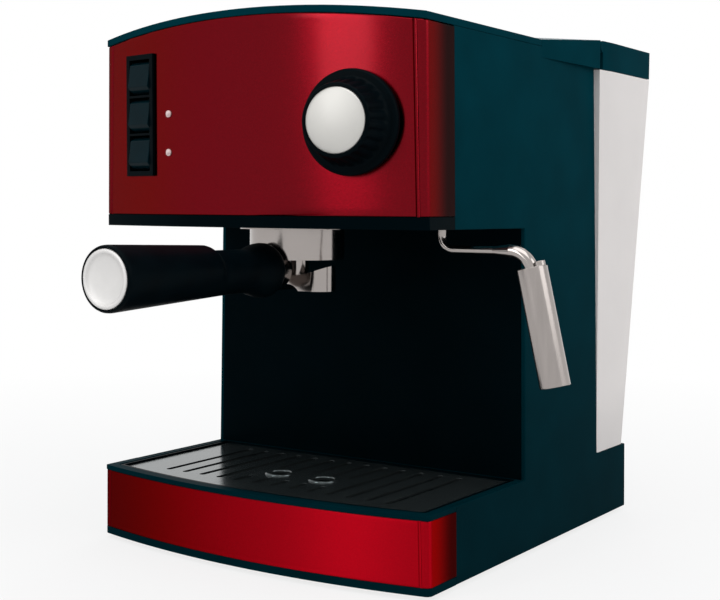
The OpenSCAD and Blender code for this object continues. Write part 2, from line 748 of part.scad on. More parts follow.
module boiler_bolts() color(steel) in_place() translate([0, group_d, boiler_z]) {
    for (a = [45:90:315]) rotate([0, 0, a]) translate([bolt_ring, 0, 0]) {
        translate([0, 0, -flange_t - 3]) cylinder(r = 3.4, h = 3, $fn = 6);
        translate([0, 0, -flange_t]) cylinder(r = bolt_r, h = 2 * flange_t, $fn = 24);
        translate([0, 0, flange_t]) cylinder(r = 3.6, h = 3, $fn = 6);
    }
}
// Half-ring heater in the boiler, with its two ends through the boiler's top
module heating_element() color(steel) in_place() translate([0, group_d, boiler_z + 14]) {
    rotate_extrude(angle = 180) translate([coil_r, 0]) circle(coil_t, $fn = 32);
    for (s = [-1, 1]) {
        translate([s * coil_r, 0, 0]) cylinder(r = coil_t, h = boiler_h - 14 + 6, $fn = 32);
        translate([s * coil_r, 0, 0]) sphere(r = coil_t, $fn = 32);
        translate([s * coil_r - 0.4, -3, boiler_h - 8]) cube([0.8, 6, 8]);
    }
}
module thermostats() color("tan") in_place() for (s = [-1, 1])
    translate([0, group_d + s * 14, boiler_z + boiler_h]) {
        cylinder(r = 8, h = 3);
        cylinder(r = 6, h = 7);
        for (x = [-3, 3]) translate([x - 0.4, -2, 7 - 0.01]) cube([0.8, 4, 5]);
    }

// ---- pump, hoses ------------------------------------------------------------------------

pump_d = cup_d + 46;
shelf_z = base_h + 28;
shelf_gap = 90;
shelf_t = 1.5;
barrel_out_r = 11;
bracket_back = 26;
module on_pump(z) { translate([pump_x, pump_d, z]) children(); }

module pump_bracket() color(steel) in_place() difference() {
    union() {
        on_pump(base_h) translate([-20, bracket_back, 0])
            cube([40, shelf_t, shelf_z - base_h + shelf_gap + shelf_t]);
        on_pump(base_h) translate([-20, bracket_back, 0]) cube([40, 14, shelf_t]);
        for (z = [shelf_z, shelf_z + shelf_gap]) on_pump(z) translate([-20, -16, 0])
            cube([40, bracket_back + 17, shelf_t]);
    }
    for (z = [shelf_z, shelf_z + shelf_gap]) on_pump(z - cut)
        cylinder(r = barrel_out_r + 2, h = 4 * shelf_t);
}
module pump_grommets() color("dimgray") in_place() {
    on_pump(shelf_z + shelf_t) ring(barrel_out_r + 5, barrel_out_r, 7);
    on_pump(shelf_z + shelf_gap - 7) ring(barrel_out_r + 5, barrel_out_r, 7);
}
module pump_barrel() color("tan") in_place() {
    on_pump(shelf_z - 4) cylinder(r = barrel_out_r, h = shelf_gap + 8);
    on_pump(shelf_z - 14) cylinder(r = hose_r - 1.5, h = 10.01, $fn = 32);
    on_pump(shelf_z + shelf_gap + 3.99) cylinder(r = hose_r - 1.5, h = 10, $fn = 32);
}
module pump_coil() color("saddlebrown") in_place() on_pump(shelf_z + 16) difference() {
    union() {
        translate([-21, -19, 0]) cube([42, 38, 3]);
        translate([-21, -19, 53]) cube([42, 38, 3]);
        translate([-21, 16, 0]) cube([42, 3, 56]);
        translate([0, 0, 2.99]) cylinder(r = 18, h = 50.02);
    }
    translate([0, 0, -cut]) cylinder(r = barrel_out_r, h = 60);
}
// From the tank socket under the deck, forward, and up through the deck to the pump
suction_z = 12;
hose_bend = 10;
module suction_hose() color("whitesmoke") in_place() {
    y0 = pump_d + hose_bend;
    y1 = socket_d - hose_bend;
    top = shelf_z - 5;
    translate([pump_x, y0, suction_z + hose_bend]) mirror([0, 1, 0]) rotate([-90, 0, 0])
        bend(hose_bend, hose_r, hose_r - 1.5);
    translate([pump_x, y1, suction_z + hose_bend]) rotate([-90, 0, 0])
        bend(hose_bend, hose_r, hose_r - 1.5);
    translate([pump_x, y0, suction_z]) rotate([-90, 0, 0]) ring(hose_r, hose_r - 1.5, y1 - y0);
    on_pump(suction_z + hose_bend) ring(hose_r, hose_r - 1.5, top - suction_z - hose_bend);
    translate([pump_x, socket_d, suction_z + hose_bend])
        ring(hose_r, hose_r - 1.5, socket_z - 6 - suction_z - hose_bend + 5);
}
socket_z = base_h - 8;
module tank_socket() color("dimgray") in_place() translate([pump_x, socket_d, socket_z]) difference() {
    union() {
        cylinder(r = 9, h = 8);
        translate([0, 0, -6]) cylinder(r = hose_r - 1.5, h = 6.01, $fn = 32);
    }
    translate([0, 0, 2]) cylinder(r = nipple_r + 0.1, h = 8);
    translate([0, 0, -8]) cylinder(r = 1.2, h = 12, $fn = 24);
}
module pressure_hose() color("whitesmoke") in_place() difference() {
    z0 = shelf_z + shelf_gap + 5;
    z1 = boiler_z + 26;
    union() {
        on_pump(z0) cylinder(r = hose_r, h = z1 - hose_bend - z0, $fn = 48);
        on_pump(z1 - hose_bend) translate([0, -hose_bend, 0]) bend(hose_bend, hose_r, 0);
        translate([pump_x, group_d, z1]) rotate([-90, 0, 0])
            cylinder(r = hose_r, h = pump_d - hose_bend - group_d);
    }
    on_pump(z0 - cut) cylinder(r = hose_r - 1.5, h = 10, $fn = 32);
    boiler_solid();
}

// ---- filter holder ------------------------------------------------------------------------

bowl_t = 1.6;
saddle_dip = 5.5;      // how far the bridge dips between the spout's two ends
saddle_over = 0.6;     // the dip's curve runs on this far past both ends
spout_top_gap = 3;     // from the bowl down to the spout's two ends
spout_h = spout_drop - bowl_drop - spout_top_gap;
saddle_z = -bowl_drop - spout_top_gap - saddle_dip;
arch_rise = 3.5;       // rise of the arch under the bridge
outlet_t = 2.4;        // wall of one outlet
outlet_h = 7;          // depth of one outlet
spout_boss_r = 6;
boss_sink = 0.3;       // depth of the flat seat for the boss
spout_bolt_r = 1.9;
handle_gap = 1.5;      // length of bright neck between the bowl and the handle
module portafilter_bowl() color(steel) in_place() on_group() difference() {
    union() {
        translate([0, 0, -bowl_drop]) cylinder(r = bowl_r, h = bowl_drop + 1);
        translate([0, 0, -1]) cylinder(r = collar_r, h = collar_top + 1);
        ears(0, wall + lip_t + seat, wall + lip_t + seat + ear_t);
        translate([0, 0, saddle_z - boss_sink])
            cylinder(r = spout_boss_r, h = -bowl_drop + cut - saddle_z + boss_sink);
        translate([0, -bowl_r + 7, -handle_drop]) rotate([90, 0, 0]) cylinder(r = 10, h = 7 + handle_gap);
    }
    translate([0, 0, -bowl_drop + 2]) cylinder(r = bowl_r - bowl_t, h = bowl_drop + 2 * collar_top);
    translate([0, 0, saddle_z - boss_sink - cut]) cylinder(r = spout_bolt_r + 0.1, h = 20, $fn = 24);
    translate([0, -bowl_r + 6, -handle_drop]) rotate([90, 0, 0]) cylinder(r = bolt_in_r, h = 20, $fn = 32);
}
bolt_in_r = 3;
module filter_basket() color(steel) in_place() on_group() {
    top = collar_top;
    difference() {
        translate([0, 0, top - basket_h]) cylinder(r = basket_r, h = basket_h + basket_rim_t);
        translate([0, 0, top - basket_h + 0.6]) cylinder(r = basket_r - 0.6, h = basket_h + 2);
    }
    translate([0, 0, top]) ring(collar_r - 1.5, basket_r - 0.1, basket_rim_t);
}
// Two outlets joined by a saddle-shaped bridge, which the bowl's boss stands on
module coffee_spout() color(steel) in_place() on_group() {
    z0 = -spout_drop;
    difference() {
        union() {
            for (s = [-1, 1]) translate([s * spout_gap / 2, 0, z0]) cylinder(r = spout_r, h = spout_h);
            translate([-spout_gap / 2, -spout_r, z0]) cube([spout_gap, 2 * spout_r, spout_h]);
        }
        translate([0, 0, saddle_z]) across(spout_gap / 2 + spout_r + saddle_over, saddle_dip);
        translate([0, 0, z0 + arch_rise])
            mirror([0, 0, 1]) across(spout_gap / 2 - spout_r + 0.8, arch_rise);
        for (s = [-1, 1]) translate([s * spout_gap / 2, 0, z0 - cut])
            cylinder(r = spout_r - outlet_t, h = outlet_h + cut);
        translate([0, 0, z0]) cylinder(r = spout_bolt_r + 0.1, h = spout_h, $fn = 24);
        translate([0, 0, saddle_z - boss_sink]) cylinder(r = spout_boss_r + run, h = spout_h);
    }
}
// Cylinder along Y whose lowest line passes through the origin and that rises by dip at x = reach
module across(reach, dip) {
    r = (reach * reach + dip * dip) / (2 * dip);
    translate([0, 0, r]) rotate([90, 0, 0]) cylinder(r = r, h = 4 * spout_r, center = true, $fn = fine);
}
module spout_screw() color(steel) in_place() on_group() {
    translate([0, 0, -spout_drop + 2]) cylinder(r = spout_bolt_r, h = spout_drop - bowl_drop - 2, $fn = 24);
}
// Handle turned round its own axis, from the collar at the bowl to the flared end
module on_handle() { on_group() translate([0, 0, -handle_drop]) rotate([90, 0, 0]) children(); }
module portafilter_handle() color(black) in_place() on_handle() difference() {
    start = bowl_r + handle_gap;
    shoulder = handle_reach - 66;
    rotate_extrude() polygon([[0, start], [handle_r - 3, start], [handle_r - 1.4, start + 2],
        [handle_r - 1.6, start + 8], [handle_r - 4.2, start + 18], [handle_r - 4.2, shoulder],
        [handle_r - 2, shoulder + 6], [handle_r - 1.4, shoulder + 12], [handle_r, handle_reach - 3],
        [handle_r - 1, handle_reach], [0, handle_reach]]);
    translate([0, 0, start - cut]) cylinder(r = bolt_in_r, h = handle_reach - start - 20 + cut, $fn = 32);
    translate([0, 0, handle_reach - 2.4]) cylinder(r = handle_r - 1.6, h = 4);
}
module handle_bolt() color(steel) in_place() on_handle()
    translate([0, 0, bowl_r - 5]) cylinder(r = bolt_in_r, h = handle_reach - bowl_r - 16, $fn = 32);
module handle_end_cap() color(steel) in_place() on_handle() intersection() {
    dish_r = 90;
    translate([0, 0, handle_reach - 2.4]) cylinder(r = handle_r - 1.6, h = 2.8);
    translate([0, 0, handle_reach + 0.4 - dish_r]) sphere(r = dish_r, $fn = 200);
}

// ---- drip tray ----------------------------------------------------------------------------

grid_z = base_h - 1.2;
post_r = 3;
finger_x = spout_gap / 2;
finger_y = group_d + 4;
module drip_tray() color(black) in_place() intersection() {
    along_y(-2 * front_bulge, body_d) leaning_sides(tray_inset);
    union() {
        difference() {
            layer(plate_t + seat, base_h - 0.2) plan(base_w, tray_inset, tray_back);
            layer(plate_t + seat + tray_t, base_h + cut)
                plan(base_w, tray_inset + tray_t, tray_back - tray_t);
        }
        for (x = [-body_w / 4, body_w / 4], y = [8, tray_back - 12]) translate([x, y, plate_t + seat])
            cylinder(r = post_r, h = grid_z - grid_t - plate_t - 2 * seat, $fn = 32);
    }
}
module slot(x, y0, y1) {
    translate([x, y0]) circle(slot_w / 2, $fn = 24);
    translate([x, y1]) circle(slot_w / 2, $fn = 24);
    span(x - slot_w / 2, y0, x + slot_w / 2, y1);
}
module drip_grid() color(steel) in_place() {
    inset = tray_inset + tray_t + 0.4;
    first = 16;
    last = tray_back - 11;
    keep = finger_r + 7;
    difference() {
        intersection() {
            layer(grid_z - grid_t, grid_z) plan(base_w, inset, tray_back - tray_t - 0.4);
            along_y(-2 * front_bulge, body_d) leaning_sides(inset);
        }
        layer(grid_z - grid_t - cut, grid_z + cut) {
            for (i = [-(slot_count - 1) / 2:(slot_count - 1) / 2]) {
                x = i * slot_pitch;
                if (abs(x) < finger_x + keep) {
                    slot(x, first, finger_y - keep);
                    slot(x, finger_y + keep, last);
                } else slot(x, first, last);
            }
            for (s = [-1, 1]) translate([s * finger_x, finger_y]) circle(finger_r);
        }
    }
    for (s = [-1, 1]) translate([s * finger_x, finger_y, grid_z]) rotate_extrude()
        translate([finger_r + 1, 0]) circle(1, $fn = 24);
}

// ---- water tank ---------------------------------------------------------------------------

nipple_r = 6;
nipple_len = 6;
valve_t = 2;
spring_h = 8;
tank_front_foot = column_foot_d + 0.6;
tank_top_z = lid_z - 0.4;
tank_front_top = column_foot_d + 0.6
    - (column_foot_d - column_top_d) / (side_h - base_h) * (tank_top_z - base_h);
foot_half_w = half_w(base_h) - 0.3;
// Tank outline at the top or the foot: flat front, slanted front corners
module tank_outline(front, rear, half, front_half, chamfer, inset) {
    polygon([[-front_half + inset, front + inset], [front_half - inset, front + inset],
        [half - inset, front + chamfer], [half - inset, rear - inset],
        [-half + inset, rear - inset], [-half + inset, front + chamfer]]);
}
module tank_body(inset, z0, z1) {
    hull() {
        layer(z0, z0 + 0.01)
            tank_outline(tank_front_foot, tank_foot_d, foot_half_w, foot_half_w - 0.4, 1.5, inset);
        layer(z1 - 0.01, z1)
            tank_outline(tank_front_top, tank_top_d, tank_half_w, flare_w(lid_d) - 0.5, chamfer_d, inset);
    }
}
hinge_y = lid_d + 3.3;
hinge_z = lid_top - 3.3;
ear_x = 70;
ear_w = 4;
module water_tank() color([0.9, 0.92, 0.93, 0.6]) in_place() difference() {
    union() {
        difference() {
            tank_body(0, tank_z, tank_top_z);
            tank_body(tank_t, tank_z + tank_t, tank_top_z + 0.02);
        }
        translate([pump_x, socket_d, tank_z - nipple_len]) cylinder(r = nipple_r, h = nipple_len + tank_t);
        translate([pump_x, socket_d, tank_z + tank_t - 0.01]) valve_cage();
        for (s = [-1, 1]) hinge_ear(s);
    }
    translate([pump_x, socket_d, tank_z - nipple_len - cut])
        cylinder(r = nipple_r - 1.5, h = nipple_len + tank_t + 2 * cut);
    translate([-tank_half_w, hinge_y, hinge_z]) rotate([0, 90, 0])
        cylinder(r = pin_r, h = 2 * tank_half_w, $fn = 32);
}
pin_r = 1.4;
// Two posts and a bar that hold the top of the valve's spring
module valve_cage() {
    post = 2;
    inner = nipple_r + 2;
    rise = seat + valve_t + spring_h + 0.01;
    for (s = [-1, 1]) translate([s * (inner + post / 2) - post / 2, -post, 0])
        cube([post, 2 * post, rise + post]);
    translate([-inner - post, -post, rise]) cube([2 * inner + 2 * post, 2 * post, post]);
}
module hinge_ear(s) {
    translate([s * ear_x - ear_w / 2, 0, 0]) {
        translate([0, hinge_y, hinge_z]) rotate([0, 90, 0]) cylinder(r = 2.9, h = ear_w);
        translate([0, hinge_y - 2.9, tank_top_z - 6]) cube([ear_w, 5.8, hinge_z - tank_top_z + 6]);
    }
}
module lid_hinge_pin() color(steel) in_place() translate([-ear_x - 6, hinge_y, hinge_z]) rotate([0, 90, 0])
    cylinder(r = pin_r, h = 2 * ear_x + 12, $fn = 32);
module lid_plan(inset) {
    polygon([[-flare_w(lid_d) + inset, hinge_y], [flare_w(lid_d) - inset, hinge_y],
        [tank_half_w - inset, lid_d + chamfer_d], [tank_half_w - inset, tank_top_d - inset],
        [-tank_half_w + inset, tank_top_d - inset], [-tank_half_w + inset, lid_d + chamfer_d]]);
}
module tank_lid() color(black) in_place() difference() {
    union() {
        difference() {
            layer(lid_z, lid_top) lid_plan(0);
            layer(lid_z - cut, lid_top - 2.4) lid_plan(wall);
            layer(lid_z - cut, lid_top - 2.4)
                span(-flare_w(lid_d) + wall, 0, flare_w(lid_d) - wall, hinge_y + cut);
        }
        translate([-flare_w(lid_d), hinge_y, hinge_z]) rotate([0, 90, 0])
            cylinder(r = 3.3, h = 2 * flare_w(lid_d));
    }
    for (s = [-1, 1]) translate([s * ear_x - ear_w / 2 - seat, 0, lid_z - cut])
        cube([ear_w + 2 * seat, hinge_y + 6, 3 * lid_h]);
    translate([-ear_x - 6.5, hinge_y, hinge_z]) rotate([0, 90, 0])
        cylinder(r = pin_r + run, h = 2 * ear_x + 13, $fn = 32);
}
module tank_outlet_valve() color("dimgray") in_place()
    translate([pump_x, socket_d, tank_z + tank_t + seat]) {
    cylinder(r = nipple_r + 0.5, h = valve_t);
    translate([0, 0, -7]) cylinder(r = 1.5, h = 7.01, $fn = 24);
}
module outlet_valve_spring() color(steel) in_place()
    translate([pump_x, socket_d, tank_z + tank_t + seat + valve_t]) ring(4, 3, spring_h);

base_frame();
screw_bosses();
tray_surround();
base_front_panel();
bottom_plate();
rubber_feet();
bottom_screws();
left_side_panel();
right_side_panel();
column_front_panel();
rear_wall();
cord_gland();
head_underside();
head_front_panel();
top_cover();
rear_deck();
switch_bezel();
switch_bodies();
indicator_lamps();
upper_rocker();
middle_rocker();
lower_rocker();
steam_knob();
knob_cap();
valve_spindle();
steam_valve();
steam_feed_pipe();
steam_outlet_pipe();
wand_nut();
steam_wand();
frothing_sleeve();
group_head();
group_gasket();
shower_screen();
shower_screw();
boiler();
boiler_bolts();
heating_element();
thermostats();
pump_coil();
pump_barrel();
pump_grommets();
pump_bracket();
suction_hose();
pressure_hose();
tank_socket();
portafilter_bowl();
filter_basket();
coffee_spout();
spout_screw();
portafilter_handle();
handle_bolt();
handle_end_cap();
drip_tray();
drip_grid();
water_tank();
tank_outlet_valve();
outlet_valve_spring();
lid_hinge_pin();
tank_lid();
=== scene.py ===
# Looks for the espresso machine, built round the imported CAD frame. All sizes in this file
# are in millimetres in the body's own frame (front corners at y 0, bottom edge at z 0) and
# P() turns them into the frame's metres.
import json
import math
import bmesh
import bpy
from mathutils import Matrix, Vector


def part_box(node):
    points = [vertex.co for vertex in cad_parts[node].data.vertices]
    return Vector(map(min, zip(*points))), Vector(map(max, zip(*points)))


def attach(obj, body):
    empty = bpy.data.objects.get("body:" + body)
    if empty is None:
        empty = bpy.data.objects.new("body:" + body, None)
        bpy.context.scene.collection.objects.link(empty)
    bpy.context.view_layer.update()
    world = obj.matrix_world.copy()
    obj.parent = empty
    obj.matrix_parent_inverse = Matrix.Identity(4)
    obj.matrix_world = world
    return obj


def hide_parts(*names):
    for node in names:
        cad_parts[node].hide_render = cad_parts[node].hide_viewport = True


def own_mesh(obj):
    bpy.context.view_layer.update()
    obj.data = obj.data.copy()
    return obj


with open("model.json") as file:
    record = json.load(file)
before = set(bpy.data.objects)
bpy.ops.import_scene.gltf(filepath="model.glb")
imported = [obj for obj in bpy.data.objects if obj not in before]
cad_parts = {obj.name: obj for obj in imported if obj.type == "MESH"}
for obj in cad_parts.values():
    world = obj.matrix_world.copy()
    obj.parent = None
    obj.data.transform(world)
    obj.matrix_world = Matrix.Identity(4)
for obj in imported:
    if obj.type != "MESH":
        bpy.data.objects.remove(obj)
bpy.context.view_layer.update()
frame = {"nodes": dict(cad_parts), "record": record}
scene = bpy.context.scene
NODES = frame["nodes"]

# ---- measures of the body ----------------------------------------------------------------
BODY_W, BODY_D, SIDE_H, HEAD_H = 211.6, 232.8, 271.8, 100.0
DRAFT = math.tan(math.radians(1.0))
BULGE, CORNER_R, CROWN, WALL, COVER, WRAP, FOOT = 12.0, 3.5, 7.5, 2.5, 3.5, 25.0, 2.5
BASE_H, STRIP_H, RIM_T = 38.6, 4.0, 2.6
BAND_H = 6.0
GROUP_D = 37.0
HEAD_Z = SIDE_H - HEAD_H


def P(x, y, z):
    """A point of the body's own frame, in mm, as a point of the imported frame, in metres."""
    return Vector((x * 0.001, (y - BODY_D / 2) * 0.001, (z + FOOT) * 0.001))


def half_w(z):
    """Half the width at height z: the sides lean inward."""
    return BODY_W / 2 - z * DRAFT


def front_r(w):
    return (w * w / 4 + BULGE * BULGE) / (2 * BULGE)


def front_c(w):
    return front_r(w) - BULGE


HEAD_W = 2 * half_w(HEAD_Z)
CROWN_R = (half_w(SIDE_H) ** 2 + CROWN ** 2) / (2 * CROWN)


def crown_z(x, drop=0.0):
    """Height of the crowned top at x, or of a face that lies drop below it."""
    r = CROWN_R - drop
    return SIDE_H + CROWN - CROWN_R + math.sqrt(r * r - x * x)


def panel_y(x):
    return front_c(HEAD_W) - math.sqrt(front_r(HEAD_W) ** 2 - x * x)


def panel_turn(x):
    return math.asin(x / front_r(HEAD_W))


# ---- camera ------------------------------------------------------------------------------
CAMERA_AT, CAMERA_TURN, CAMERA_LENS = (409.64, -508.82, 181.74), (0.595, 0.071, 0.006), 64.41


def make_camera():
    yaw, pitch, roll = CAMERA_TURN
    fwd = Vector((-math.sin(yaw) * math.cos(pitch), math.cos(yaw) * math.cos(pitch), -math.sin(pitch)))
    right = Vector((math.cos(yaw), math.sin(yaw), 0))
    up = right.cross(fwd)
    r2 = right * math.cos(roll) + up * math.sin(roll)
    u2 = up * math.cos(roll) - right * math.sin(roll)
    cam = bpy.data.cameras.new("camera")
    cam.sensor_width = 36.0
    cam.lens = CAMERA_LENS
    ob = bpy.data.objects.new("camera", cam)
    m = Matrix((r2, u2, -fwd)).transposed().to_4x4()
    m.translation = P(*CAMERA_AT)
    ob.matrix_world = m
    scene.collection.objects.link(ob)
    scene.camera = ob


make_camera()

# ---- materials ---------------------------------------------------------------------------


def material(name, color, rough, metal=0.0, vary=0.08, scale=60.0, bump=0.05, bump_scale=900.0,
             stretch=(1, 1, 1), rough_vary=0.06, fades=(), **sockets):
    """Principled surface: noise varies the colour and the roughness, a finer one the height.
    fades are (axis, from, to, colour factors at the two ends, mirrored) along the object's axes, in mm; they scale
    the colour, and the X and Z fades below paint shade and highlight into it."""
    m = bpy.data.materials.new(name)
    m.use_nodes = True
    nt = m.node_tree
    b = nt.nodes["Principled BSDF"]
    co = nt.nodes.new("ShaderNodeTexCoord")
    mp = nt.nodes.new("ShaderNodeMapping")
    mp.inputs["Scale"].default_value = stretch
    nt.links.new(co.outputs["Object"], mp.inputs["Vector"])
    n1 = nt.nodes.new("ShaderNodeTexNoise")
    n1.inputs["Scale"].default_value = scale
    n1.inputs["Detail"].default_value = 4.0
    nt.links.new(mp.outputs["Vector"], n1.inputs["Vector"])
    cr = nt.nodes.new("ShaderNodeValToRGB")
    lo = [max(0.0, c * (1 - vary)) for c in color[:3]] + [1]
    hi = [min(1.0, c * (1 + vary)) for c in color[:3]] + [1]
    cr.color_ramp.elements[0].position = 0.3
    cr.color_ramp.elements[0].color = lo
    cr.color_ramp.elements[1].position = 0.7
    cr.color_ramp.elements[1].color = hi
    nt.links.new(n1.outputs["Fac"], cr.inputs["Fac"])
    tint = cr.outputs["Color"]
    for axis, start, end, near, far, mirrored in fades:
        sp = nt.nodes.new("ShaderNodeSeparateXYZ")
        nt.links.new(co.outputs["Object"], sp.inputs[0])
        coord = sp.outputs["XYZ".index(axis)]
        if mirrored:
            ab = nt.nodes.new("ShaderNodeMath")
            ab.operation = "ABSOLUTE"
            nt.links.new(coord, ab.inputs[0])
            coord = ab.outputs[0]
        fr = nt.nodes.new("ShaderNodeMapRange")
        fr.interpolation_type = "SMOOTHSTEP"
        fr.inputs["From Min"].default_value = start * 0.001
        fr.inputs["From Max"].default_value = end * 0.001
        fr.inputs["To Min"].default_value = near
        fr.inputs["To Max"].default_value = far
        nt.links.new(coord, fr.inputs["Value"])
        mx = nt.nodes.new("ShaderNodeVectorMath")
        mx.operation = "SCALE"
        nt.links.new(tint, mx.inputs[0])
        nt.links.new(fr.outputs["Result"], mx.inputs["Scale"])
        tint = mx.outputs[0]
    nt.links.new(tint, b.inputs["Base Color"])
    mr = nt.nodes.new("ShaderNodeMapRange")
    mr.inputs["To Min"].default_value = max(0.02, rough - rough_vary)
    mr.inputs["To Max"].default_value = rough + rough_vary
    nt.links.new(n1.outputs["Fac"], mr.inputs["Value"])
    nt.links.new(mr.outputs["Result"], b.inputs["Roughness"])
    if bump:
        n2 = nt.nodes.new("ShaderNodeTexNoise")
        n2.inputs["Scale"].default_value = bump_scale
        n2.inputs["Detail"].default_value = 3.0
        nt.links.new(mp.outputs["Vector"], n2.inputs["Vector"])
        bp = nt.nodes.new("ShaderNodeBump")
        bp.inputs["Strength"].default_value = bump
        bp.inputs["Distance"].default_value = 0.0002
        nt.links.new(n2.outputs["Fac"], bp.inputs["Height"])
        nt.links.new(bp.outputs["Normal"], b.inputs["Normal"])
    b.inputs["Metallic"].default_value = metal
    for k, v in sockets.items():
        b.inputs[k.replace("_", " ")].default_value = v
    return m


# The Y fade darkens the red where it wraps round the corners.
RED = material("red_paint", (0.142, 0.0010, 0.005), 0.23, metal=1.0, vary=0.10, scale=1400, bump=0.03,
               bump_scale=2500, rough_vary=0.03,
               fades=[("Y", -114, -97, 1.0, 0.2, False)],
               Specular_Tint=(0.30, 0.10, 0.12, 1), Anisotropic=0.88, Anisotropic_Rotation=0.25,
               Coat_Weight=0.09, Coat_Roughness=0.12)
# Base panel red: a brighter copy of the red paint whose X fade darkens the left end and brightens the right,
# painted shade and painted highlight of the lamps' falloff; its Y fade darkens the corners as above.
RED_BASE_PAINTED_SHADE_AND_HIGHLIGHT = material("red_paint_base_painted_shade_and_highlight", (0.24, 0.0008, 0.005), 0.42, metal=1.0, vary=0.10, scale=1400, bump=0.03,
                   bump_scale=2500, rough_vary=0.03,
                   fades=[("Y", -114, -95, 1.0, 0.2, False), ("X", -104, 40, 0.45, 1.35, False)],
                   Specular_Tint=(0.30, 0.10, 0.12, 1), Anisotropic=0.95, Anisotropic_Rotation=0.25,
                   Coat_Weight=0.02, Coat_Roughness=0.12)
# The Z fade darkens the black towards the bottom and lightens it towards the top: painted shade below and painted
# highlight above, as the light falls from above.
BLACK_PAINTED_SHADE_BY_HEIGHT = material("black_gloss", (0.0003, 0.026, 0.036), 0.30, vary=0.12, scale=30, bump=0.02, bump_scale=700,
                 rough_vary=0.05, fades=[("Z", 0, 270, 0.6, 1.2, False)], IOR=1.45, Specular_IOR_Level=0.002,
                 Specular_Tint=(0.10, 0.75, 1.0, 1))
RECESS = material("black_shaded", (0.0006, 0.0030, 0.0042), 0.30, vary=0.15, scale=30, bump=0.02,
                  bump_scale=700, rough_vary=0.05, Specular_IOR_Level=0.010, Specular_Tint=(0.10, 0.75, 1.0, 1))
DARK = material("black_matt", (0.0005, 0.0026, 0.0038), 0.42, vary=0.2, scale=80, bump=0.12, bump_scale=1800,
                Specular_IOR_Level=0.02)
SWITCH = material("switch_plastic", (0.0008, 0.010, 0.014), 0.30, vary=0.12, scale=120, bump=0.06,
                  bump_scale=1600, rough_vary=0.05, Specular_IOR_Level=0.035)
GRILLE = material("grid_plate", (0.075, 0.090, 0.092), 0.18, metal=0.75, vary=0.12, scale=60, bump=0.03,
                  bump_scale=600, rough_vary=0.04)
RUBBER = material("rubber_black", (0.010, 0.010, 0.011), 0.7, vary=0.2, scale=120, bump=0.2, bump_scale=1500,
                  Specular_IOR_Level=0.2)
CHROME = material("chrome", (0.35, 0.32, 0.305), 0.14, metal=1.0, vary=0.03, scale=40, bump=0.02,
                  bump_scale=400, rough_vary=0.03)
SLEEVE = material("sleeve_steel", (0.34, 0.31, 0.295), 0.22, metal=1.0, vary=0.05, scale=300,
                  stretch=(1, 1, 0.02), bump=0.08, bump_scale=1200, rough_vary=0.06)
STEEL = material("steel", (0.50, 0.50, 0.50), 0.32, metal=1.0, vary=0.06, scale=200,
                 bump=0.06, bump_scale=900)
ALU = material("aluminium", (0.74, 0.74, 0.73), 0.34, metal=1.0, vary=0.04, scale=90,
               bump=0.05, bump_scale=800)
BRASS = material("brass", (0.55, 0.36, 0.13), 0.32, metal=1.0, vary=0.08, scale=90, bump=0.06, bump_scale=700)
TAN = material("tan_plastic", (0.40, 0.31, 0.20), 0.5, vary=0.1, scale=60, bump=0.08, bump_scale=900)
HOSE = material("hose", (0.62, 0.63, 0.60), 0.45, vary=0.05, scale=60, bump=0.06, bump_scale=600)
LAMP = material("lamp", (0.80, 0.62, 0.60), 0.12, vary=0.06, scale=400, bump=0.03, bump_scale=900)
# The Z fade darkens the tank's lowest part: painted shade near its foot.
TANK_PAINTED_SHADE = material("tank_plastic_painted_shade", (0.88, 0.83, 0.81), 0.34, vary=0.03, scale=18, bump=0.05, bump_scale=500,
                fades=[("Z", 40, 85, 0.85, 1.0, False)], Transmission_Weight=0.10, IOR=1.45,
                Specular_IOR_Level=0.3)
CAP = material("spun_cap", (0.56, 0.55, 0.525), 0.50, metal=0.75, vary=0.03, scale=90,
               bump=0.04, bump_scale=800)
DISC = material("spun_disc", (0.70, 0.69, 0.68), 0.62, metal=0.8, vary=0.04, scale=90,
                bump=0.05, bump_scale=800)
SLOT_MATS = {"red_paint": RED, "black_gloss": BLACK_PAINTED_SHADE_BY_HEIGHT, "black_matt": DARK, "rubber_black": RUBBER,
             "chrome": CHROME,
             "sleeve_steel": SLEEVE, "steel": STEEL, "aluminium": ALU, "brass": BRASS, "tan_plastic": TAN,
             "hose": HOSE, "lamp": LAMP, "tank": TANK_PAINTED_SHADE}

# ---- stage -------------------------------------------------------------------------------
FLOOR_HALF = 3.0
# distances from the middle, and the share of plain white there; the rest keeps the shadow
FLOOR_FADE = (0.15, 0.75, 0.8, 1.0)


def background_rays(nt):
    """1 for camera, glossy and transmission rays, which see the plain pale background, and 0 for others."""
    paths = nt.nodes.new("ShaderNodeLightPath")
    seen = paths.outputs["Is Camera Ray"]
    for ray in ("Is Glossy Ray", "Is Transmission Ray"):
        either = nt.nodes.new("ShaderNodeMath")
        either.operation = "MAXIMUM"
        nt.links.new(seen, either.inputs[0])
        nt.links.new(paths.outputs[ray], either.inputs[1])
        seen = either.outputs[0]
    return seen


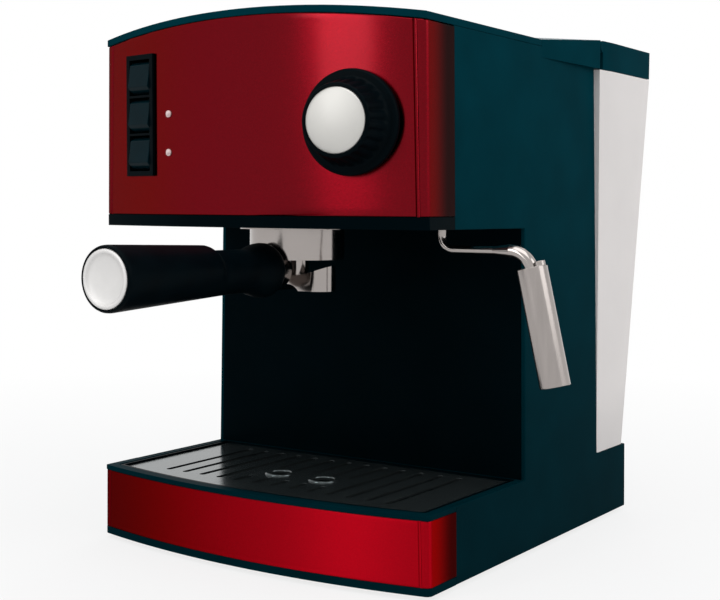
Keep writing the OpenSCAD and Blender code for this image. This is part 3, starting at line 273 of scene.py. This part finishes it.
def make_stage():
    w = bpy.data.worlds.new("world")
    scene.world = w
    w.use_nodes = True
    nt = w.node_tree
    nt.nodes.clear()
    out = nt.nodes.new("ShaderNodeOutputWorld")
    soft = nt.nodes.new("ShaderNodeBackground")
    soft.inputs["Color"].default_value = (0.75, 0.78, 0.80, 1)
    soft.inputs["Strength"].default_value = 0.55
    white = nt.nodes.new("ShaderNodeBackground")
    white.inputs["Color"].default_value = (1, 1, 1, 1)
    mix = nt.nodes.new("ShaderNodeMixShader")
    nt.links.new(background_rays(nt), mix.inputs[0])
    nt.links.new(soft.outputs[0], mix.inputs[1])
    nt.links.new(white.outputs[0], mix.inputs[2])
    nt.links.new(mix.outputs[0], out.inputs["Surface"])
    # floor
    me = bpy.data.meshes.new("floor")
    e = FLOOR_HALF
    me.from_pydata([(-e, -e, 0), (e, -e, 0), (e, e, 0), (-e, e, 0)], [], [(0, 1, 2, 3)])
    fl = bpy.data.objects.new("floor", me)
    scene.collection.objects.link(fl)
    m = bpy.data.materials.new("floor")
    m.use_nodes = True
    nt = m.node_tree
    p = nt.nodes["Principled BSDF"]
    p.inputs["Base Color"].default_value = (0.75, 0.75, 0.75, 1)
    p.inputs["Roughness"].default_value = 0.9
    p.inputs["Specular IOR Level"].default_value = 0.1
    em = nt.nodes.new("ShaderNodeEmission")
    em.inputs["Strength"].default_value = 1.0
    share = nt.nodes.new("ShaderNodeMath")
    share.operation = "MULTIPLY"
    mix = nt.nodes.new("ShaderNodeMixShader")
    co = nt.nodes.new("ShaderNodeTexCoord")
    ln = nt.nodes.new("ShaderNodeVectorMath")
    ln.operation = "LENGTH"
    far = nt.nodes.new("ShaderNodeMapRange")
    for socket, value in zip(("From Min", "From Max", "To Min", "To Max"), FLOOR_FADE):
        far.inputs[socket].default_value = value
    nt.links.new(co.outputs["Object"], ln.inputs[0])
    nt.links.new(ln.outputs["Value"], far.inputs["Value"])
    nt.links.new(far.outputs["Result"], share.inputs[1])
    nt.links.new(background_rays(nt), share.inputs[0])
    nt.links.new(share.outputs[0], mix.inputs[0])
    nt.links.new(p.outputs[0], mix.inputs[1])
    nt.links.new(em.outputs[0], mix.inputs[2])
    nt.links.new(mix.outputs[0], nt.nodes["Material Output"].inputs["Surface"])
    me.materials.append(m)


def area(name, azimuth, elevation, dist, w, h, power, color=(1, 1, 1), aim=(0, 0, 0.15)):
    """Softbox that stands at an azimuth seen from the machine (0 is its front) and faces it."""
    li = bpy.data.lights.new(name, "AREA")
    li.shape = "RECTANGLE"
    li.size, li.size_y = w, h
    li.energy = power
    li.color = color
    ob = bpy.data.objects.new(name, li)
    a, e = math.radians(azimuth), math.radians(elevation)
    pos = Vector((math.sin(a) * math.cos(e), -math.cos(a) * math.cos(e), math.sin(e))) * dist + Vector(aim)
    d = Vector(aim) - pos
    ob.matrix_world = Matrix.Translation(pos) @ d.to_track_quat("-Z", "Y").to_matrix().to_4x4()
    scene.collection.objects.link(ob)
    return ob


make_stage()
area("key", -15.5, 21, 1.6, 0.28, 0.8, 3.3)
area("glow", -22, 22, 1.6, 0.14, 0.4, 0.7)
area("top", 20, 70, 1.6, 1.4, 1.4, 12)
area("side", 95, 30, 1.6, 1.0, 1.0, 6)
area("back", 200, 30, 1.8, 1.0, 1.0, 6)

scene.view_settings.view_transform = "Standard"

# ---- mesh helpers ------------------------------------------------------------------------


def grid(rows, wrap_rows=False, wrap_cols=False, skip=None):
    n, m = len(rows), len(rows[0])
    verts = [v for r in rows for v in r]
    faces = []
    for i in range(n if wrap_rows else n - 1):
        for j in range(m if wrap_cols else m - 1):
            if skip and skip(i, j):
                continue
            a, b = i * m + j, i * m + (j + 1) % m
            c, d = ((i + 1) % n) * m + (j + 1) % m, ((i + 1) % n) * m + j
            faces.append((a, b, c, d))
    return verts, faces


def add(name, parts, body, mat, nodes=(), sharp=32, bevel=None):
    """Joins (verts, faces) parts into one piece, shaded smooth but for its sharp edges."""
    verts, faces = [], []
    for v, f in parts:
        k = len(verts)
        verts += [tuple(p) for p in v]
        faces += [tuple(i + k for i in q) for q in f]
    me = bpy.data.meshes.new(name)
    me.from_pydata(verts, [], faces)
    bm = bmesh.new()
    bm.from_mesh(me)
    bmesh.ops.remove_doubles(bm, verts=bm.verts, dist=2e-6)
    bmesh.ops.dissolve_degenerate(bm, edges=bm.edges, dist=1e-7)
    bmesh.ops.recalc_face_normals(bm, faces=bm.faces)
    bm.to_mesh(me)
    bm.free()
    for p in me.polygons:
        p.use_smooth = True
    me.set_sharp_from_angle(angle=math.radians(sharp))
    me.materials.append(mat)
    ob = bpy.data.objects.new(name, me)
    scene.collection.objects.link(ob)
    if bevel:
        b = ob.modifiers.new("bevel", "BEVEL")
        b.width, b.segments, b.limit_method, b.angle_limit = bevel * 0.001, 3, "ANGLE", math.radians(40)
        b.harden_normals = True
    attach(ob, body)
    if nodes:
        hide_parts(*nodes)
    return ob


def lathe(profile, origin, axis, up, steps=96, radius=None):
    """Turns (r, h) points about an axis. radius(r, h, angle) may change r, for flutes."""
    axis = axis.normalized()
    u = (up - axis * up.dot(axis)).normalized()
    v = axis.cross(u)
    rows = []
    for r, h in profile:
        row = []
        for k in range(steps):
            a = 2 * math.pi * k / steps
            q = radius(r, h, a) if radius else r
            row.append(origin + axis * (h * 0.001) + (u * math.cos(a) + v * math.sin(a)) * (q * 0.001))
        rows.append(row)
    return grid(rows, wrap_cols=True)


def panel(name, z0, z1, w0, node, mat, r=0.8, rows=24, opening=None, groove=(1.1, 0.9)):
    """Painted front: one skin bent round the front with rounded edges, a wall, a shadow groove
    beside each corner and, where asked, an opening (x0, x1, z0, z1)."""
    half, deep = groove
    edge = [(-half, 0.0), (-half * 0.6, deep * 0.8), (0.0, deep), (half * 0.6, deep * 0.8), (half, 0.0)]
    inner = [k / 20 for k in range(-20, 21)]
    st = [("S", -1, WRAP, 0.0), ("S", -1, WRAP * 0.5, 0.0)]
    st += [("F", -1, k / 7, 0.0) for k in range(8)]
    st += [("G", -1, -q, g) for q, g in reversed(edge)]
    marks = [("A", 0, t, 0.0) for t in inner]
    if opening:
        span = w0 / 2 - 6.5
        marks = [m for m in marks if min(abs(m[2] * span - x) for x in opening[:2]) > 2.5]
        marks += [("X", 0, x, 0.0) for x in opening[:2]]
        marks.sort(key=lambda m: m[2] if m[0] == "X" else m[2] * span)
    st += marks
    st += [("G", 1, q, g) for q, g in edge]
    st += [("F", 1, k / 7, 0.0) for k in range(7, -1, -1)]
    st += [("S", 1, WRAP * 0.5, 0.0), ("S", 1, WRAP, 0.0)]
    R, c = front_r(w0), front_c(w0)
    cuts = list(opening[2:]) if opening else []

    def at(s, z):
        kind, side, t = s[:3]
        hw = half_w(z)
        if kind == "S":
            return (side * hw, t), (-side, 0)
        fx = hw - CORNER_R
        fy = c - math.sqrt((R - CORNER_R) ** 2 - fx * fx)
        if kind == "F":
            q = math.atan2(c - fy, fx) * t
            u, v = math.cos(q), math.sin(q)
            return (side * (fx + CORNER_R * u), fy - CORNER_R * v), (-side * u, v)
        lean = 4.6 + 0.0105 * (z - z0)
        if kind == "G":
            x = side * (hw - lean) + side * t if side > 0 else -(hw - lean) + t
        elif kind == "A":
            x = t * (hw - lean - half - 0.6)
        else:
            x = t
        y = c - math.sqrt(R * R - x * x)
        return (x, y), (-x / R, (c - y) / R)

    def levels(lo, hi):
        stops = [lo] + cuts + [hi]
        out = []
        for i, (a, b) in enumerate(zip(stops, stops[1:])):
            n = (6, 14, 6)[i] if cuts else rows
            out += [a + (b - a) * k / n for k in range(n)]
        return out + [hi]

    cols = []
    for s in st:
        (x, y), n = at(s, z0)
        top = z1(x) if callable(z1) else z1
        q4 = [math.pi / 2 * k / 4 for k in range(5)]
        mid = levels(z0 + r, top - r)
        prof = [(WALL, z0)]
        prof += [(r * (1 - math.sin(q)), z0 + r * (1 - math.cos(q))) for q in q4[:-1]]
        k0 = len(prof)
        prof += [(0.0, z) for z in mid]
        prof += [(r * (1 - math.cos(q)), top - r * (1 - math.sin(q))) for q in q4[1:]]
        prof += [(WALL, top)]
        k1 = len(prof)
        prof += [(WALL, z) for z in reversed(mid)]
        col = []
        for inset, z in prof:
            (px, py), (nx, ny) = at(s, z)
            inset = max(inset, s[3])
            col.append(P(px + nx * inset, py + ny * inset, z))
        cols.append(col)
    m = len(cols[0])
    hollow = set()
    if opening:
        marked = [i for i, s in enumerate(st) if s[0] == "X"]
        n = len(mid)
        low, high = [k for k, z in enumerate(mid) if any(abs(z - q) < 1e-6 for q in cuts)]
        for i in range(marked[0], marked[1]):
            hollow |= {(i, k0 + k) for k in range(low, high)}
            hollow |= {(i, k1 + n - 1 - k - 1) for k in range(low, high)}
    v, f = grid(cols, wrap_cols=True, skip=lambda i, j: (i, j) in hollow)
    f += [tuple(range(m)), tuple((len(cols) - 1) * m + k for k in range(m))]
    return add(name, [(v, f)], "machine", mat, nodes=(node,))


panel("head_front", HEAD_Z + BAND_H, lambda x: crown_z(x, COVER), HEAD_W, "head_front_panel", RED,
      opening=(-79.4, -61.2, 200.6, 259.4))
panel("base_front", STRIP_H, BASE_H - RIM_T, BODY_W, "base_front_panel", RED_BASE_PAINTED_SHADE_AND_HIGHLIGHT, r=0.6, groove=(0.8, 0.5))

# ---- pieces that keep the frame's shape but get rounded edges ------------------------------
BODY_OF = {n: b for b, ns in frame["record"]["behaviour"]["bodies"].items() for n in ns}
SLOT_OF = {q["node"]: q["material_slot"] for q in frame["record"]["subparts"]}
LOOKS = {"upper_rocker": SWITCH, "middle_rocker": SWITCH, "lower_rocker": SWITCH, "switch_bezel": DARK,
         "column_front_panel": RECESS, "head_underside": RECESS, "drip_tray": RECESS, "drip_grid": GRILLE}


def look_of(node):
    return LOOKS.get(node, SLOT_MATS[SLOT_OF[node]])


def rounded(node, width, segments=3, angle=35, flat=0.5):
    """A copy of a frame node with its flat faces whole again and its sharp edges rounded."""
    bm = bmesh.new()
    bm.from_mesh(NODES[node].data)
    bmesh.ops.remove_doubles(bm, verts=bm.verts, dist=2e-6)
    bmesh.ops.dissolve_degenerate(bm, edges=bm.edges, dist=1e-6)
    bmesh.ops.dissolve_limit(bm, angle_limit=math.radians(flat), verts=bm.verts, edges=bm.edges)
    bmesh.ops.recalc_face_normals(bm, faces=bm.faces)
    edges = [e for e in bm.edges if len(e.link_faces) == 2 and e.calc_face_angle(0) > math.radians(angle)]
    if width:
        bmesh.ops.bevel(bm, geom=edges, offset=width * 0.001, offset_type="OFFSET", segments=segments,
                        profile=0.5, affect="EDGES", clamp_overlap=True)
    me = bpy.data.meshes.new(node + "_skin")
    bm.to_mesh(me)
    bm.free()
    for q in me.polygons:
        q.use_smooth = True
    me.set_sharp_from_angle(angle=math.radians(38))
    me.materials.append(look_of(node))
    ob = bpy.data.objects.new(node + "_skin", me)
    scene.collection.objects.link(ob)
    wn = ob.modifiers.new("normals", "WEIGHTED_NORMAL")
    wn.keep_sharp = True
    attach(ob, BODY_OF[node])
    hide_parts(node)
    return ob


# edge radius of each, in mm
EDGES = (("top_cover", 0.9), ("rear_deck", 0.9), ("left_side_panel", 0.6), ("right_side_panel", 0.6),
         ("head_underside", 0.8), ("base_frame", 0.6), ("tray_surround", 0.9), ("tank_lid", 0.9),
         ("water_tank", 1.6), ("switch_bezel", 0.5), ("upper_rocker", 0.5), ("middle_rocker", 0.5),
         ("lower_rocker", 0.5), ("frothing_sleeve", 0.5), ("portafilter_bowl", 0.9),
         ("coffee_spout", 0.7), ("drip_tray", 0.5), ("drip_grid", 0.25))
for node, width in EDGES:
    rounded(node, width)

# ---- steam knob ------------------------------------------------------------------------------
KNOB_X, KNOB_Z, KNOB_H, CAP_R = 65.5, HEAD_Z + HEAD_H / 2, 21.0, 15.4
FLUTES = 24
kt = panel_turn(KNOB_X)
KNOB_AXIS = Vector((math.sin(kt), -math.cos(kt), 0))
KNOB_O = P(KNOB_X, panel_y(KNOB_X), KNOB_Z)
UP = Vector((0, 0, 1))


def fluted(r, h, a):
    """Shallow grips round the barrel, fading out at its two ends."""
    k = min(1.0, max(0.0, (h - 5.2) / 3.0)) * min(1.0, max(0.0, (KNOB_H - 2.4 - h) / 1.6))
    return r - 0.85 * k * (0.5 + 0.5 * math.cos(FLUTES * a)) ** 2


skirt = [(3.2, 1.0), (23.8, 1.0)]
skirt += [(24.0 + 1.0 * math.sin(math.radians(q)), 2.0 - 1.0 * math.cos(math.radians(q))) for q in (20, 45, 70, 90)]
skirt += [(25.0, 3.2), (24.8, 4.0), (24.2, 4.6), (23.4, 4.9), (22.2, 5.0)]
barrel = [(21.6, 5.05), (21.2, 5.3), (20.7, 6.0)]
barrel += [(20.3 - 2.7 * k / 10, 7.0 + 10.6 * k / 10) for k in range(11)]
barrel += [(17.4, 18.2), (17.1, 18.7), (16.6, 19.0), (CAP_R + 0.15, 19.05), (CAP_R + 0.1, 18.2), (3.2, 18.2),
           (3.2, 1.0)]
v, f = lathe(skirt + barrel, KNOB_O, KNOB_AXIS, UP, steps=240, radius=fluted)
add("knob_grip", [(v, f)], "knob", DARK, nodes=("steam_knob",), sharp=50)
DOME_R = 60.0
cap = [(0.01, KNOB_H)]
cap += [(CAP_R * k / 12, KNOB_H - DOME_R + math.sqrt(DOME_R ** 2 - (CAP_R * k / 12) ** 2)) for k in range(1, 12)]
cap += [(CAP_R - 0.9, KNOB_H - 1.85), (CAP_R - 0.35, KNOB_H - 2.1), (CAP_R - 0.05, KNOB_H - 2.5),
        (CAP_R, KNOB_H - 3.0),
        (0.01, KNOB_H - 3.0)]
add("knob_disc", [lathe(cap, KNOB_O, KNOB_AXIS, UP, steps=128)], "knob", CAP, nodes=("knob_cap",),
    sharp=60)

# ---- handle of the filter holder ---------------------------------------------------------------
HANDLE_O = P(0, GROUP_D, HEAD_Z - 21.8)
HANDLE_AXIS = Vector((0, -1, 0))
TIP = 141.0


def smooth(t):
    t = min(1.0, max(0.0, t))
    return t * t * (3 - 2 * t)


def handle_radius(r, h, a):
    """Stepped along the top, one straight taper along the underside."""
    if h < 45 or h > TIP - 3.2:
        return r
    low = 11.0 + (15.2 - 11.0) * max(0.0, h - 58) / (TIP - 3 - 58)
    k = smooth((math.cos(a) + 0.55) / 0.9)
    return r * k + low * (1 - k)


start = 26.5
prof = [(3.1, start), (11.6, start), (12.4, start + 0.4), (13.2, start + 1.2), (13.8, start + 2.6),
        (13.95, start + 5),
        (13.7, start + 8), (13.0, start + 11), (12.1, start + 14), (11.3, start + 17), (11.0, start + 19)]
prof += [(11.0, h) for h in (50, 55, 60, 65, 68)]
prof += [(11.0 + 2.7 * smooth((h - 69) / 7.5), h) for h in (69, 70, 71, 72, 73, 74, 75, 76, 77)]
prof += [(13.75 + 1.45 * (h - 78) / (TIP - 3 - 78), h)
         for h in (79, 85, 92, 100, 108, 116, 124, 131, TIP - 3.2)]
prof += [(15.2, TIP - 2.4), (15.1, TIP - 1.2), (14.8, TIP - 0.5), (14.35, TIP - 0.1), (13.9, TIP - 0.1),
         (13.75, TIP - 0.5), (13.7, TIP - 2.4), (3.1, TIP - 2.4), (3.1, start)]
add("handle_grip", [lathe(prof, HANDLE_O, HANDLE_AXIS, UP, steps=160, radius=handle_radius)],
    "portafilter", DARK, nodes=("portafilter_handle",), sharp=50)
disc = [(0.01, TIP - 1.5), (3, TIP - 1.47), (6, TIP - 1.37), (8.5, TIP - 1.2), (10.2, TIP - 0.95),
        (11.0, TIP - 0.6),
        (11.4, TIP - 0.1), (11.8, TIP + 0.15), (12.4, TIP + 0.25), (13.0, TIP + 0.15), (13.4, TIP - 0.15),
        (13.55, TIP - 0.6), (13.55, TIP - 2.4), (0.01, TIP - 2.4)]
add("handle_disc", [lathe(disc, HANDLE_O, HANDLE_AXIS, UP, steps=128)], "portafilter", DISC,
    nodes=("handle_end_cap",), sharp=60)

# ---- spring of the tank's outlet valve ---------------------------------------------------------
low, high = (Vector(c) * 1000 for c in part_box("outlet_valve_spring"))
SPRING_H = high.z - low.z
WIRE_R, TURNS, SPRING_LIFT = 0.48, 5, 3.0
SPRING_R = (high.x - low.x) / 2 - WIRE_R - 0.02
SPRING_AXIS = Vector(((low.x + high.x) / 2, (low.y + high.y) / 2, low.z))
STEPS, SIDES = TURNS * 28, 12
verts, faces = [], []
for i in range(STEPS + 1):
    turn = 2 * math.pi * TURNS * i / STEPS
    out = Vector((math.cos(turn), math.sin(turn), 0))
    mid = out * SPRING_R
    mid.z = WIRE_R + 0.02 + (SPRING_H - 2 * WIRE_R - 0.04) * i / STEPS
    for k in range(SIDES):
        q = 2 * math.pi * k / SIDES
        w = mid + out * (WIRE_R * math.cos(q)) + UP * (WIRE_R * math.sin(q))
        verts.append((SPRING_AXIS + w) * 0.001)
for i in range(STEPS):
    for k in range(SIDES):
        a, b = i * SIDES + k, i * SIDES + (k + 1) % SIDES
        faces.append((a, a + SIDES, b + SIDES, b))
faces.append(tuple(range(SIDES)))
faces.append(tuple(STEPS * SIDES + k for k in reversed(range(SIDES))))
spring = add("valve_spring_coil", [(verts, faces)], "tank", STEEL, nodes=("outlet_valve_spring",),
             sharp=50)
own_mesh(spring)

# ---- finish of the nodes that stay --------------------------------------------------------------
for name, ob in NODES.items():
    ob.data.materials.clear()
    ob.data.materials.append(look_of(name))
